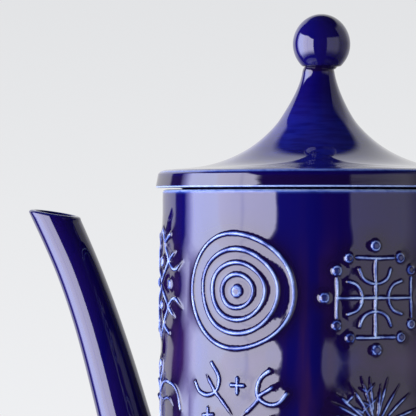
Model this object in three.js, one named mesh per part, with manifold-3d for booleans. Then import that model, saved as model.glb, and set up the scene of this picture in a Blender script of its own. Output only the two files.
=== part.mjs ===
// Relief-moulded cobalt blue ceramic coffee pot, in the pieces it is cast in.
// Millimetres. +Z is up, the foot ring stands on z = 0 and the pot's axis is the Z axis.
// The spout points along -X, the handle along +X.
import * as THREE from "three";
import { mergeVertices } from "three/addons/utils/BufferGeometryUtils.js";
import Module from "manifold-3d";

const wasm = await Module();
wasm.setup();

// ---- driving dimensions ----
const GAP = 0.3; // between castings that are luted together
const SIDES = 64; // facets round the turned pieces

const RIM_Z = 225.5; // top of the pot's rim
const RIM_R = 51.5; // outer radius just under the rim
const DRAFT = 0.0104; // radius gained per mm downwards
const WALL = 5.1;
const FLOOR_Z = 7.5; // inside floor
const RECESS_Z = 2.5; // recessed base inside the foot ring
const FOOT_INNER_R = 46.2;
const FOOT_OUTER_R = 50.6;

const LID_Z = 226.0; // underside of the lid's flange
const FLANGE_R = 53.8;
const COLLAR_R = 44.7; // locating collar, outer
const COLLAR_WALL = 3.8;
const COLLAR_DROP = 14;

const KNOB_R = 9.5;
const KNOB_Z = 48.3; // ball centre above the flange's underside
const KNOB_LEAN = [1.37, 0.49]; // the ball sits slightly off the pot's axis
const NECK_TOP_Z = 39.8; // above the flange's underside

const HOLE_R = 2.5; // strainer holes
const HOLES = [
  [0, 88],
  [0, 102],
  [0, 74],
  [6.8, 95],
  [-6.8, 95],
  [6.8, 81],
  [-6.8, 81],
];

// Spout centreline: distance from the pot's axis, height, outer radius, wall.
const SPOUT = [
  [40.6, 77, 16.6, 3.6],
  [47.6, 84, 15.6, 3.5],
  [52.8, 92, 14.4, 3.4],
  [56.3, 100, 13.2, 3.3],
  [59.6, 110, 11.9, 3.1],
  [62.3, 120, 10.8, 2.9],
  [65.0, 130, 10.0, 2.8],
  [67.6, 140, 9.4, 2.7],
  [70.43, 150, 8.98, 2.6],
  [73.39, 160, 8.7, 2.6],
  [76.53, 170, 8.37, 2.5],
  [79.92, 180, 8.04, 2.5],
  [83.67, 190, 7.77, 2.4],
  [87.86, 200, 7.58, 2.3],
  [92.56, 210, 7.55, 2.2],
  [96.25, 217.4, 7.6, 2.1],
];
const MOUTH = { reach: 96.25, z: 217.77, rise: 9.0 }; // centre of the mouth, and its slope in degrees

// Handle centreline: distance from the pot's axis, height, half thickness, half width.
const HANDLE = [
  [44, 193, 8.6, 10.4],
  [52, 195.5, 7.4, 9.4],
  [62, 199, 6.2, 8.4],
  [74, 201.2, 5.7, 7.8],
  [86, 198.6, 5.5, 7.5],
  [95, 190.5, 5.5, 7.4],
  [99.4, 178, 5.5, 7.4],
  [100, 163, 5.5, 7.4],
  [97.6, 145, 5.5, 7.4],
  [92.4, 127, 5.5, 7.4],
  [84.6, 110, 5.5, 7.5],
  [74.5, 96.5, 5.7, 7.8],
  [63, 87.6, 6.3, 8.4],
  [53, 82.6, 7.5, 9.4],
  [45, 79.5, 8.8, 10.4],
];

// ---- materials ----
const cobalt = (name, colour, roughness) =>
  new THREE.MeshStandardMaterial({ name, color: colour, roughness, metalness: 0 });
const bodyGlaze = cobalt("body_glaze", 0x1a1078, 0.08);
const spoutGlaze = cobalt("spout_glaze", 0x1a1074, 0.08);
const handleGlaze = cobalt("handle_glaze", 0x1a1074, 0.08);
const lidGlaze = cobalt("lid_glaze", 0x1b127c, 0.08);
const knobGlaze = cobalt("knob_glaze", 0x1b127c, 0.07);

// ---- geometry helpers ----
const outerRadius = (z) => RIM_R + DRAFT * (RIM_Z - 3.5 - z);

// A geometry as a manifold-3d solid, with its faces turned outwards.
function solid(geometry) {
  const g = geometry.clone();
  g.deleteAttribute("normal");
  g.deleteAttribute("uv");
  const m = mergeVertices(g, 1e-3);
  const make = (tri) =>
    new wasm.Manifold(
      new wasm.Mesh({
        numProp: 3,
        vertProperties: m.attributes.position.array,
        triVerts: tri,
      }),
    );
  const tri = new Uint32Array(m.index.array);
  const s = make(tri);
  if (s.volume() > 0) return s;
  for (let i = 0; i < tri.length; i += 3)
    [tri[i + 1], tri[i + 2]] = [tri[i + 2], tri[i + 1]];
  return make(tri);
}

// A manifold-3d solid as a three.js geometry.
function geometryOf(s) {
  const m = s.getMesh();
  const n = m.numProp;
  const v = new Float32Array(m.numVert * 3);
  for (let i = 0; i < m.numVert; i++)
    v.set(m.vertProperties.subarray(i * n, i * n + 3), i * 3);
  return new THREE.BufferGeometry()
    .setAttribute("position", new THREE.BufferAttribute(v, 3))
    .setIndex(new THREE.BufferAttribute(new Uint32Array(m.triVerts), 1));
}

// A turned solid: [radius, height] points that run from the axis back to the axis.
function turned(profile, sides = SIDES) {
  return solid(
    new THREE.LatheGeometry(
      profile.map(([r, z]) => new THREE.Vector2(r, z)),
      sides,
    ).rotateX(Math.PI / 2),
  );
}

// A closed sweep in the XZ plane. Each row gives x, z, half thickness in the plane and half width along Y.
// plane, if given, is {point, normal}: the last ring is slid along the path onto it.
function sweep(rows, steps, sides, plane) {
  const path = new THREE.CatmullRomCurve3(
    rows.map((r) => new THREE.Vector3(r[0], 0, r[1])),
    false,
    "centripetal",
  );
  const size = new THREE.CatmullRomCurve3(
    rows.map((r) => new THREE.Vector3(r[2], r[3], 0)),
    false,
    "centripetal",
  );
  const vertices = [];
  const index = [];
  const centres = [];
  for (let i = 0; i <= steps; i++) {
    const u = path.getUtoTmapping(i / steps);
    const c = path.getPoint(u);
    const t = path.getTangent(u);
    // the size row at the same place along the list of rows
    const k = u * (rows.length - 1);
    const k0 = Math.min(Math.floor(k), rows.length - 2);
    const f = k - k0;
    const a = rows[k0][2] * (1 - f) + rows[k0 + 1][2] * f;
    const b = rows[k0][3] * (1 - f) + rows[k0 + 1][3] * f;
    const n = new THREE.Vector3(-t.z, 0, t.x);
    const slide = (p) =>
      plane && i === steps
        ? p.addScaledVector(
            t,
            plane.point.clone().sub(p).dot(plane.normal) / t.dot(plane.normal),
          )
        : p;
    for (let j = 0; j < sides; j++) {
      const w = (2 * Math.PI * j) / sides;
      const p = c
        .clone()
        .addScaledVector(n, a * Math.cos(w))
        .add(new THREE.Vector3(0, b * Math.sin(w), 0));
      slide(p);
      vertices.push(p.x, p.y, p.z);
    }
    centres.push(slide(c.clone()));
  }
  for (let i = 0; i < steps; i++)
    for (let j = 0; j < sides; j++) {
      const k = (j + 1) % sides;
      const a = i * sides + j;
      const b = i * sides + k;
      const c = (i + 1) * sides + j;
      const d = (i + 1) * sides + k;
      index.push(a, b, c, b, d, c);
    }
  const first = vertices.length / 3;
  vertices.push(...centres[0].toArray(), ...centres[steps].toArray());
  for (let j = 0; j < sides; j++) {
    const k = (j + 1) % sides;
    index.push(first, k, j);
    index.push(first + 1, steps * sides + j, steps * sides + k);
  }
  return solid(
    new THREE.BufferGeometry()
      .setAttribute(
        "position",
        new THREE.BufferAttribute(new Float32Array(vertices), 3),
      )
      .setIndex(index),
  );
}

// ---- pot body: wall, floor, recessed base and foot ring in one casting ----
const inner = (z) => outerRadius(z) - WALL;
let bodySolid = turned([
  [0, RECESS_Z],
  [FOOT_INNER_R - 0.9, RECESS_Z],
  [FOOT_INNER_R, 0],
  [FOOT_OUTER_R, 0],
  [51.6, 1.4],
  [53.1, 4.2],
  [outerRadius(8), 8],
  [outerRadius(RIM_Z - 3.5), RIM_Z - 3.5],
  [RIM_R - 0.15, RIM_Z - 1.6],
  [RIM_R - 0.8, RIM_Z - 0.4],
  [RIM_R - 1.9, RIM_Z],
  [RIM_R - 3.4, RIM_Z],
  [inner(RIM_Z) + 0.5, RIM_Z - 0.8],
  [inner(RIM_Z), RIM_Z - 2.4],
  [inner(15), 15],
  [inner(15) - 1.6, FLOOR_Z + 2.4],
  [inner(15) - 5, FLOOR_Z],
  [0, FLOOR_Z],
]);
for (const [y, z] of HOLES)
  bodySolid = bodySolid.subtract(
    solid(
      new THREE.CylinderGeometry(HOLE_R, HOLE_R, 20, 12)
        .rotateZ(Math.PI / 2)
        .translate(-RIM_R, y, z),
    ),
  );

// Everything inside the pot's outer face, grown by the gap: it trims what is luted to the wall.
const wallTrim = turned([
  [0, -2],
  [outerRadius(-2) + GAP, -2],
  [outerRadius(RIM_Z + 2) + GAP, RIM_Z + 2],
  [0, RIM_Z + 2],
]);

// ---- spout: curved tube with a slanted mouth, open into the strainer ----
const rise = THREE.MathUtils.degToRad(MOUTH.rise);
const mouthPlane = {
  point: new THREE.Vector3(-MOUTH.reach, 0, MOUTH.z),
  normal: new THREE.Vector3(Math.sin(rise), 0, Math.cos(rise)),
};
const spoutOuter = sweep(
  SPOUT.map(([r, z, R]) => [-r, z, R, R]),
  26,
  24,
  mouthPlane,
);
const last = SPOUT[SPOUT.length - 1];
const spoutBore = sweep(
  [
    ...SPOUT.map(([r, z, R, w]) => [-r, z, R - w, R - w]),
    [-last[0] - 3.4, last[1] + 6.6, last[2] - last[3] + 0.2, last[2] - last[3] + 0.2],
  ],
  26,
  20,
);
const spoutSolid = spoutOuter.subtract(spoutBore).subtract(wallTrim);

// ---- handle: tall loop of oval section ----
const handleSolid = sweep(HANDLE, 34, 16).subtract(wallTrim);

// ---- lid: flange, concave cone and collar, hollow underneath ----
const COLLAR_INNER_R = COLLAR_R - COLLAR_WALL;
const lidSolid = turned(
  [
    [0, NECK_TOP_Z],
    [5.85, NECK_TOP_Z],
    [5.4, 38.3],
    [5.73, 36.4],
    [6.57, 33.8],
    [7.6, 30.8],
    [9.4, 27.6],
    [12.4, 22.7],
    [16.6, 17.8],
    [21.0, 14.1],
    [25.8, 11.3],
    [31.4, 9.0],
    [38.5, 7.1],
    [47, 6.4],
    [50.6, 6.05],
    [52.2, 5.4],
    [53.0, 4.5],
    [FLANGE_R, 0.5],
    [FLANGE_R - 0.3, 0],
    [COLLAR_R, 0],
    [COLLAR_R - 0.5, -COLLAR_DROP + 0.8],
    [COLLAR_R - 1.2, -COLLAR_DROP],
    [COLLAR_INNER_R + 0.6, -COLLAR_DROP],
    [COLLAR_INNER_R, -COLLAR_DROP + 0.8],
    [COLLAR_INNER_R, -0.8],
    [38, 1.6],
    [30, 3.8],
    [21, 7.2],
    [14.5, 12],
    [10, 18],
    [6, 26],
    [0, 29],
  ].map(([r, z]) => [r, z + LID_Z]),
);

// ---- knob: ball with a small flat where it is luted to the neck ----
const knobFlat = NECK_TOP_Z + GAP - KNOB_Z;
const knobProfile = [[0, knobFlat]];
const start = Math.asin(knobFlat / KNOB_R);
for (let i = 0; i <= 14; i++) {
  const w = start + ((Math.PI / 2 - start) * i) / 14;
  knobProfile.push([i === 14 ? 0 : KNOB_R * Math.cos(w), KNOB_R * Math.sin(w)]);
}
const knobSolid = turned(knobProfile, 32);

// ---- assembly ----
function piece(name, s, material) {
  const mesh = new THREE.Mesh(geometryOf(s), material);
  mesh.name = name;
  return mesh;
}
const pot = new THREE.Group();
pot.add(
  piece("pot_body", bodySolid, bodyGlaze),
  piece("spout", spoutSolid, spoutGlaze),
  piece("handle", handleSolid, handleGlaze),
);
const lidGroup = new THREE.Group();
const lid = piece("lid", lidSolid, lidGlaze);
const knob = piece("lid_knob", knobSolid, knobGlaze);
knob.position.set(KNOB_LEAN[0], KNOB_LEAN[1], LID_Z + KNOB_Z);
lidGroup.add(lid, knob);
pot.add(lidGroup);

export default pot;
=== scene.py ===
import math

import bpy
import numpy as np
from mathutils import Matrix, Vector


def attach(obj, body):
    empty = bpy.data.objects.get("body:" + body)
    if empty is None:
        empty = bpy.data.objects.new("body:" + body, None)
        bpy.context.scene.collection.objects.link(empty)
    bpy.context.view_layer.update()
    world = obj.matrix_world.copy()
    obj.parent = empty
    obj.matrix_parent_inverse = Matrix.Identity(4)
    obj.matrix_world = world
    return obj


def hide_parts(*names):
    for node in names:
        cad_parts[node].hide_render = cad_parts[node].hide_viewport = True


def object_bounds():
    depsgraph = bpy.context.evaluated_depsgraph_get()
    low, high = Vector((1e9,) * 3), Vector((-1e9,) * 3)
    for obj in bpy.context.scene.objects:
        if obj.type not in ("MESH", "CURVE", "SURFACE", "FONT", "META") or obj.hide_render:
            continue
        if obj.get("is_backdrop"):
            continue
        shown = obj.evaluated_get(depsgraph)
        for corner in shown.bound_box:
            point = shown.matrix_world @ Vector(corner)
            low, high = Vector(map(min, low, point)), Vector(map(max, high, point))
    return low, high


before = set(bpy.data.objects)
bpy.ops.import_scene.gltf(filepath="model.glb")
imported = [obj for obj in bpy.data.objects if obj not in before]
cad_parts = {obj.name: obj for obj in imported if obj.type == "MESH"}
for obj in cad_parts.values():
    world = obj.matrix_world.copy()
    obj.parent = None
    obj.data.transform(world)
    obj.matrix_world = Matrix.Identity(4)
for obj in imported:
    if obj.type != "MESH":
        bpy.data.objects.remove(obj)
cad_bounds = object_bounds()

MM = 0.001

# ---- the pot's dimensions in mm, as in the CAD model ----
RIM_Z, RIM_R, DRAFT, WALL = 225.5, 51.5, 0.0104, 5.1
FLOOR_Z, RECESS_Z, FOOT_IN, FOOT_OUT = 7.5, 2.5, 46.2, 50.6
LID_Z, FLANGE_R, COLLAR_R, COLLAR_WALL, COLLAR_DROP = 226.0, 53.8, 44.7, 3.8, 14.0
KNOB_R, KNOB_HALF, KNOB_Z, KNOB_LEAN = 9.5, 10.05, 48.0, (1.37, 0.49)
VIEW_AZ = math.radians(19.6)

# spout: reach, height, outer radius, wall
SPOUT = np.array([
    [40.6, 77, 16.6, 3.6], [47.6, 84, 15.6, 3.5], [52.8, 92, 14.4, 3.4], [56.3, 100, 13.2, 3.3],
    [59.6, 110, 11.9, 3.1], [62.3, 120, 10.8, 2.9], [65.0, 130, 10.0, 2.8], [67.6, 140, 9.4, 2.7],
    [70.43, 150, 8.98, 2.6], [73.39, 160, 8.7, 2.6], [76.53, 170, 8.37, 2.5], [79.92, 180, 8.04, 2.5],
    [83.67, 190, 7.77, 2.4], [87.86, 200, 7.58, 2.3], [92.56, 210, 7.55, 2.2], [96.25, 217.4, 7.6, 2.1],
])
MOUTH = (96.25, 217.77, 9.0)
# handle: reach, height, half thickness, half width
HANDLE = np.array([
    [44, 193, 8.6, 10.4], [52, 195.5, 7.4, 9.4], [62, 199, 6.2, 8.4], [74, 201.2, 5.7, 7.8], [86, 198.6, 5.5, 7.5],
    [95, 190.5, 5.5, 7.4], [99.4, 178, 5.5, 7.4], [100, 163, 5.5, 7.4], [97.6, 145, 5.5, 7.4], [92.4, 127, 5.5, 7.4],
    [84.6, 110, 5.5, 7.5], [74.5, 96.5, 5.7, 7.8], [63, 87.6, 6.3, 8.4], [53, 82.6, 7.5, 9.4], [45, 79.5, 8.8, 10.4],
])


def smooth(t):
    t = np.clip(t, 0, 1)
    return t * t * (3 - 2 * t)


def build(name, co, loops, totals, normals=None, attrs=None):
    """A mesh object in metres from mm vertices, flat loop indices and face sizes."""
    me = bpy.data.meshes.new(name)
    co = np.asarray(co, float) * MM
    me.vertices.add(len(co))
    me.vertices.foreach_set("co", co.astype(np.float32).ravel())
    loops = np.asarray(loops, np.int32)
    totals = np.asarray(totals, np.int32)
    me.loops.add(len(loops))
    me.loops.foreach_set("vertex_index", loops)
    me.polygons.add(len(totals))
    starts = np.zeros(len(totals), np.int32)
    starts[1:] = np.cumsum(totals)[:-1]
    me.polygons.foreach_set("loop_start", starts)
    me.polygons.foreach_set("loop_total", totals)
    me.polygons.foreach_set("use_smooth", np.ones(len(totals), bool))
    for key, v in (attrs or {}).items():
        a = me.attributes.new(key, "FLOAT", "POINT")
        a.data.foreach_set("value", np.asarray(v, np.float32))
    me.update(calc_edges=True)
    if me.validate(verbose=False):
        print("validate changed", name)
    if normals is not None:
        me.normals_split_custom_set_from_vertices(np.asarray(normals, float).tolist())
    ob = bpy.data.objects.new(name, me)
    bpy.context.scene.collection.objects.link(ob)
    return ob


class Faces:
    """Collects faces of mixed size."""

    def __init__(self):
        self.loops, self.totals = [], []

    def quads(self, q):
        q = np.asarray(q, np.int64).reshape(-1, 4)
        self.loops.append(q.ravel())
        self.totals.append(np.full(len(q), 4))

    def tris(self, q):
        q = np.asarray(q, np.int64).reshape(-1, 3)
        self.loops.append(q.ravel())
        self.totals.append(np.full(len(q), 3))

    def poly(self, p):
        self.loops.append(np.asarray(p, np.int64))
        self.totals.append(np.array([len(p)]))

    def get(self):
        return np.concatenate(self.loops), np.concatenate(self.totals)


def strip(f, a, b, closed=True):
    """Quads between two rows of vertex numbers; a is below b, seen from outside with rows running anticlockwise."""
    a, b = np.asarray(a), np.asarray(b)
    if closed:
        a2, b2 = np.roll(a, -1), np.roll(b, -1)
    else:
        a, a2, b, b2 = a[:-1], a[1:], b[:-1], b[1:]
    f.quads(np.stack([a, a2, b2, b], 1))


def waves(seed, n, kmax, span, amp):
    """Gentle unevenness: a sum of waves round the pot and up it. Returns h(theta, z)."""
    r = np.random.RandomState(seed)
    rows = [(r.randint(0, kmax + 1), r.uniform(-1, 1) * 2 * math.pi / span, r.uniform(0, 2 * math.pi), r.normal()) for _ in range(n)]
    norm = amp / math.sqrt(sum(x[3] ** 2 for x in rows) / 2 + 1e-9)

    def h(t, z):
        s = 0.0
        for k, m, p, a in rows:
            s = s + a * np.sin(k * t + m * z + p)
        return norm * s

    return h


def corner(pts, n=6):
    """A profile with each corner rounded: pts are (r, z, radius, value). Returns (r, z, value) rows."""
    out = []
    for i, (x, y, rad, v) in enumerate(pts):
        p = np.array([x, y], float)
        if i in (0, len(pts) - 1) or rad <= 0:
            out.append((x, y, v))
            continue
        a, b = np.array(pts[i - 1][:2], float), np.array(pts[i + 1][:2], float)
        u, w = a - p, b - p
        lu, lw = np.hypot(*u), np.hypot(*w)
        u, w = u / lu, w / lw
        cosang = float(np.clip(u @ w, -1, 1))
        half = math.acos(cosang) / 2
        if half > math.pi / 2 - 0.01:
            out.append((x, y, v))
            continue
        cut = min(rad / math.tan(half), 0.48 * lu, 0.48 * lw)
        r = cut * math.tan(half)
        c = p + (u + w) / np.hypot(*(u + w)) * (r / math.sin(half))
        s, e = p + u * cut, p + w * cut
        a0, a1 = math.atan2(*(s - c)[::-1]), math.atan2(*(e - c)[::-1])
        d = (a1 - a0 + math.pi) % (2 * math.pi) - math.pi
        k = max(2, int(n * abs(d) / (math.pi / 2)) + 1)
        for j in range(k + 1):
            t = a0 + d * j / k
            out.append((c[0] + r * math.cos(t), c[1] + r * math.sin(t), v))
    return np.array(out)


def densify(rows, step):
    """Adds points so that no stretch of a profile is longer than step."""
    out = [rows[0]]
    for a, b in zip(rows[:-1], rows[1:]):
        n = max(1, int(math.ceil(np.hypot(b[0] - a[0], b[1] - a[1]) / step)))
        for j in range(1, n + 1):
            out.append(a + (b - a) * j / n)
    return np.array(out)


def spline(c, step, values=None):
    """A smooth curve through the rows of c (any width), by centripetal Catmull-Rom."""
    c = np.asarray(c, float)
    e = np.vstack([2 * c[0] - c[1], c, 2 * c[-1] - c[-2]])
    out = []
    for i in range(1, len(e) - 2):
        p0, p1, p2, p3 = e[i - 1 : i + 3]
        k = lambda a, b: max(np.hypot(*(b - a)[:2]), 1e-6) ** 0.5
        t0, t1 = 0.0, k(p0, p1)
        t2 = t1 + k(p1, p2)
        t3 = t2 + k(p2, p3)
        n = max(2, int(np.hypot(*(p2 - p1)[:2]) / step) + 1)
        t = np.linspace(t1, t2, n, endpoint=False)[:, None]
        a1 = (t1 - t) / (t1 - t0) * p0 + (t - t0) / (t1 - t0) * p1
        a2 = (t2 - t) / (t2 - t1) * p1 + (t - t1) / (t2 - t1) * p2
        a3 = (t3 - t) / (t3 - t2) * p2 + (t - t2) / (t3 - t2) * p3
        b1 = (t2 - t) / (t2 - t0) * a1 + (t - t0) / (t2 - t0) * a2
        b2 = (t3 - t) / (t3 - t1) * a2 + (t - t1) / (t3 - t1) * a3
        out.append((t2 - t) / (t2 - t1) * b1 + (t - t1) / (t2 - t1) * b2)
    out.append(c[-1:])
    return np.vstack(out)


def turned(name, rows, sides, dents=None, centre=(0.0, 0.0), pool_and_shade=None):
    """A closed turned mesh. rows are (r, z, value) from the axis back to the axis, running anticlockwise in the half plane r > 0 seen with z up
    (so that faces point out). dents(theta, r, z) gives (dr, dz)."""
    f = Faces()
    t = 2 * math.pi * np.arange(sides) / sides
    co, val, rings = [], [], []
    n = 0
    for r, z, v in rows:
        if r < 1e-6:
            co.append([[centre[0], centre[1], z]])
            val.append([v])
            rings.append(np.array([n]))
            n += 1
            continue
        rr, zz = np.full(sides, r), np.full(sides, z)
        if dents:
            dr, dz = dents(t, rr, zz)
            rr, zz = rr + dr, zz + dz
        co.append(np.stack([centre[0] + rr * np.cos(t), centre[1] + rr * np.sin(t), zz], 1))
        val.append(np.full(sides, v))
        rings.append(n + np.arange(sides))
        n += sides
    for a, b in zip(rings[:-1], rings[1:]):
        if len(a) == 1:
            f.tris(np.stack([np.full(sides, a[0]), np.roll(b, -1), b], 1))
        elif len(b) == 1:
            f.tris(np.stack([a, np.roll(a, -1), np.full(sides, b[0])], 1))
        else:
            strip(f, a, b)
    loops, totals = f.get()
    co = np.vstack(co)
    return build(name, co, loops, totals, attrs={"break_and_highlight": np.concatenate(val), "pool_and_shade": pool_and_shade(co) if pool_and_shade else np.zeros(len(co))})


# ---- raised motifs: generic folk symbols, in mm on the unrolled wall (a to the right seen from outside, b up) ----


class Motif:
    """Raised lines and beads of one motif. A line is (points, half widths, heights); a bead is (a, b, radius, height)."""

    def __init__(self, seed):
        self.r = np.random.RandomState(seed)
        self.lines = []
        self.beads = []
        self.paleness = 0.80

    def line(self, pts, w=0.56, h=0.72, wobble=0.12, taper=0.0):
        p = np.array(pts, float)
        if len(p) == 2:
            t = np.linspace(0, 1, max(3, int(np.hypot(*(p[1] - p[0])) / 2.0) + 1))[:, None]
            p = p[0] + (p[1] - p[0]) * t
        j = self.r.normal(0, wobble, p.shape)
        j[1:-1] = (j[:-2] + j[1:-1] * 2 + j[2:]) / 4
        p = cut_corners(p + j)
        n = len(p)
        s = np.linspace(0, 1, n)
        width = w * (1 + 0.10 * np.sin(2 * math.pi * (s * self.r.uniform(1, 3) + self.r.rand())))
        height = h * (1 + 0.08 * np.sin(2 * math.pi * (s * self.r.uniform(1, 3) + self.r.rand())))
        if taper:
            k = np.clip(np.minimum(s, 1 - s) / taper, 0, 1) if taper > 0 else np.clip((1 - s) / -taper, 0, 1)
            height = height * (0.35 + 0.65 * k)
            width = width * (0.65 + 0.35 * k)
        self.lines.append((p, width, height))

    def bead(self, a, b, r=1.3, h=1.12):
        j = self.r.normal(0, 0.1, 2)
        self.beads.append((a + j[0], b + j[1], r * self.r.uniform(0.93, 1.07), h * self.r.uniform(0.9, 1.08)))

    def ring(self, rad, w=0.56, h=0.72, wob=0.018, a=0.0, b=0.0, squash=0.975):
        n = max(14, int(2 * math.pi * rad / 1.1))
        t = np.linspace(0, 2 * math.pi, n + 1)
        f1, f2, f3 = self.r.rand(3) * 2 * math.pi
        r = rad * (1 + wob * np.cos(2 * t + f1) + 0.6 * wob * np.cos(3 * t + f2) + 0.35 * wob * np.cos(5 * t + f3))
        p = np.stack([a + r * np.cos(t), b + squash * r * np.sin(t)], 1)
        s = np.linspace(0, 1, n + 1)
        k = self.r.randint(1, 3)
        width = w * (1 + 0.10 * np.sin(2 * math.pi * (k * s + self.r.rand())))
        height = h * (1 + 0.07 * np.sin(2 * math.pi * (k * s + self.r.rand())))
        self.lines.append((p, width, height))

    def curve(self, ctrl, **kw):
        self.line(catmull(np.array(ctrl, float), 1.3), wobble=0.04, **kw)


def cut_corners(p):
    """Two rounds of corner cutting that keep the ends and an even spacing."""
    for _ in range(2):
        if len(p) < 3:
            return p
        q = 0.75 * p[:-1] + 0.25 * p[1:]
        r = 0.25 * p[:-1] + 0.75 * p[1:]
        m = np.empty((2 * len(q), 2))
        m[0::2], m[1::2] = q, r
        p = np.vstack([p[:1], m[1:-1], p[-1:]])
        d = np.r_[0, np.cumsum(np.hypot(*np.diff(p, axis=0).T))]
        k = max(3, int(d[-1] / 0.8) + 1)
        u = np.linspace(0, d[-1], k)
        p = np.stack([np.interp(u, d, p[:, 0]), np.interp(u, d, p[:, 1])], 1)
    return p


def catmull(c, step):
    """Catmull-Rom through the points of c."""
    e = np.vstack([2 * c[0] - c[1], c, 2 * c[-1] - c[-2]])
    out = []
    for i in range(1, len(e) - 2):
        p0, p1, p2, p3 = e[i - 1 : i + 3]
        n = max(2, int(np.hypot(*(p2 - p1)) / step) + 1)
        t = np.linspace(0, 1, n, endpoint=False)[:, None]
        out.append(0.5 * (2 * p1 + (p2 - p0) * t + (2 * p0 - 5 * p1 + 4 * p2 - p3) * t**2 + (3 * p1 - p0 - 3 * p2 + p3) * t**3))
    out.append(c[-1:])
    return np.vstack(out)


def rot(p, deg):
    c, s = math.cos(math.radians(deg)), math.sin(math.radians(deg))
    p = np.array(p, float)
    return np.stack([p[..., 0] * c - p[..., 1] * s, p[..., 0] * s + p[..., 1] * c], -1)


def m_rings(seed, scale=1.0):
    m = Motif(seed)
    for rad in (18.9, 13.8, 9.5, 5.6):
        m.ring(rad * scale)
    m.bead(0, 0, 1.9, 1.05)
    m.paleness = 0.74
    return m


def m_dotcross(seed, scale=1.0):
    m = Motif(seed)
    m.paleness = 0.86
    for k in range(4):
        d = 90 * k
        m.line(rot([(0, 0), (0, 12.4 * scale)], d), w=0.44)
        m.line(rot([(-6.3 * scale, 12.6 * scale), (6.3 * scale, 12.6 * scale)], d), w=0.44, h=0.66)
        for s in (-1, 1):
            x, y = rot((s * 8.6 * scale, 12.6 * scale), d)
            m.bead(x, y)
        x, y = rot((0, 16.5 * scale), d)
        m.bead(x, y, 1.45)
        m.curve(rot([(-5.2, 9.0), (-4.1, 6.1), (-1.7, 4.6), (0, 4.4), (1.7, 4.6), (4.1, 6.1), (5.2, 9.0)], d) * scale, w=0.44, h=0.66)
    return m


def m_forks(seed, scale=1.0):
    m = Motif(seed)
    left = [
        [(-17.1, 12.4), (-15.1, 9.6), (-11.8, 8.5), (-8.0, 9.6), (-6.5, 12.2), (-6.7, 15.1), (-9.7, 18.8)],
        [(-8.0, 9.7), (-9.7, 12.1), (-11.8, 14.9)],
        [(-8.0, 9.6), (-4.7, 6.2), (-1.6, 2.2)],
    ]
    right = [
        [(11.7, 16.8), (9.0, 14.8), (7.7, 11.6), (8.0, 8.2), (11.4, 6.2), (14.7, 6.7), (17.2, 9.6)],
        [(8.6, 9.2), (11.4, 10.8), (14.0, 12.6)],
        [(8.2, 8.0), (5.2, 4.9), (2.1, 2.4)],
    ]
    for s in (1, -1):
        for group in (left, right):
            for i, c in enumerate(group):
                m.curve(np.array(c) * (scale, s * scale), w=0.52, h=0.7 if i == 0 else 0.64, taper=-0.3 if i else 0.0)
    for x, y in ((0.6, 11.9), (-11.1, 2.2), (0.2, -12.2), (11.6, -0.4)):
        x, y = x * scale, y * scale
        m.line([(x - 2.2, y), (x + 2.2, y)], w=0.46)
        m.line([(x, y - 2.3), (x, y + 2.3)], w=0.46)
    return m


def m_needles(seed, scale=1.0):
    m = Motif(seed)
    m.paleness = 1.0
    upper = [(-16.1, 4.9), (-14.5, 7.8), (-13.2, 10.3), (-8.4, 13.7), (-4.5, 15.6), (-2.1, 15.8), (2.0, 13.5), (4.1, 15.4), (11.9, 10.4), (8.0, 13.2), (15.4, 6.2)]
    joints = [(-9.4, 8.2), (-4.5, 4.8), (-2.8, 11.1), (-2.1, 6.7)]
    for s in (1, -1):
        for i, (x, y) in enumerate(upper):
            k = 0.16 + 0.10 * ((i * 7) % 3)
            m.line([(x * k * scale, s * y * k * scale), (x * 0.6 * scale, s * y * 0.62 * scale), (x * scale, s * y * scale)], w=0.38, h=0.62, wobble=0.16, taper=-0.35)
        for x, y in joints:
            m.line([(x * scale, s * y * scale), ((x + 2.6) * scale, s * (y + 2.8) * scale)], w=0.35, h=0.60, wobble=0.1, taper=-0.4)
            m.line([(x * scale, s * y * scale), ((x - 2.8) * scale, s * (y + 1.6) * scale)], w=0.35, h=0.60, wobble=0.1, taper=-0.4)
    for s in (-1, 1):
        m.line([(s * 3.5 * scale, 0), (s * 16.6 * scale, 0.8 * scale)], w=0.38, h=0.68, taper=-0.3)
    return m


def m_star(seed, scale=1.0, narrow=1.0):
    m = Motif(seed)
    for sx in (-1, 1):
        for sy in (-1, 1):
            q = lambda p: np.array(p, float) * (sx * scale * narrow, sy * scale)
            m.curve(q([(0, 0.7), (5, 4.6), (8.2, 7.3), (7.2, 9.4), (4.2, 13), (9.2, 16.1)]), w=0.5)
            m.line(q([(8.2, 7.3), (13.4, 10.8)]), w=0.46, taper=-0.3)
            m.line(q([(8.2, 7.3), (13.4, 3.9), (18.2, 7.4)]), w=0.46, taper=-0.3)
            m.line(q([(4.2, 13.0), (1.6, 16.6), (0.4, 19.0)]), w=0.44, taper=-0.3)
    for x, y in ((9.1, 0), (-9.1, 0), (0, 7.1), (0, -7.1)):
        m.bead(x * scale * narrow, y * scale, 1.5, 0.92)
    return m


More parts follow.
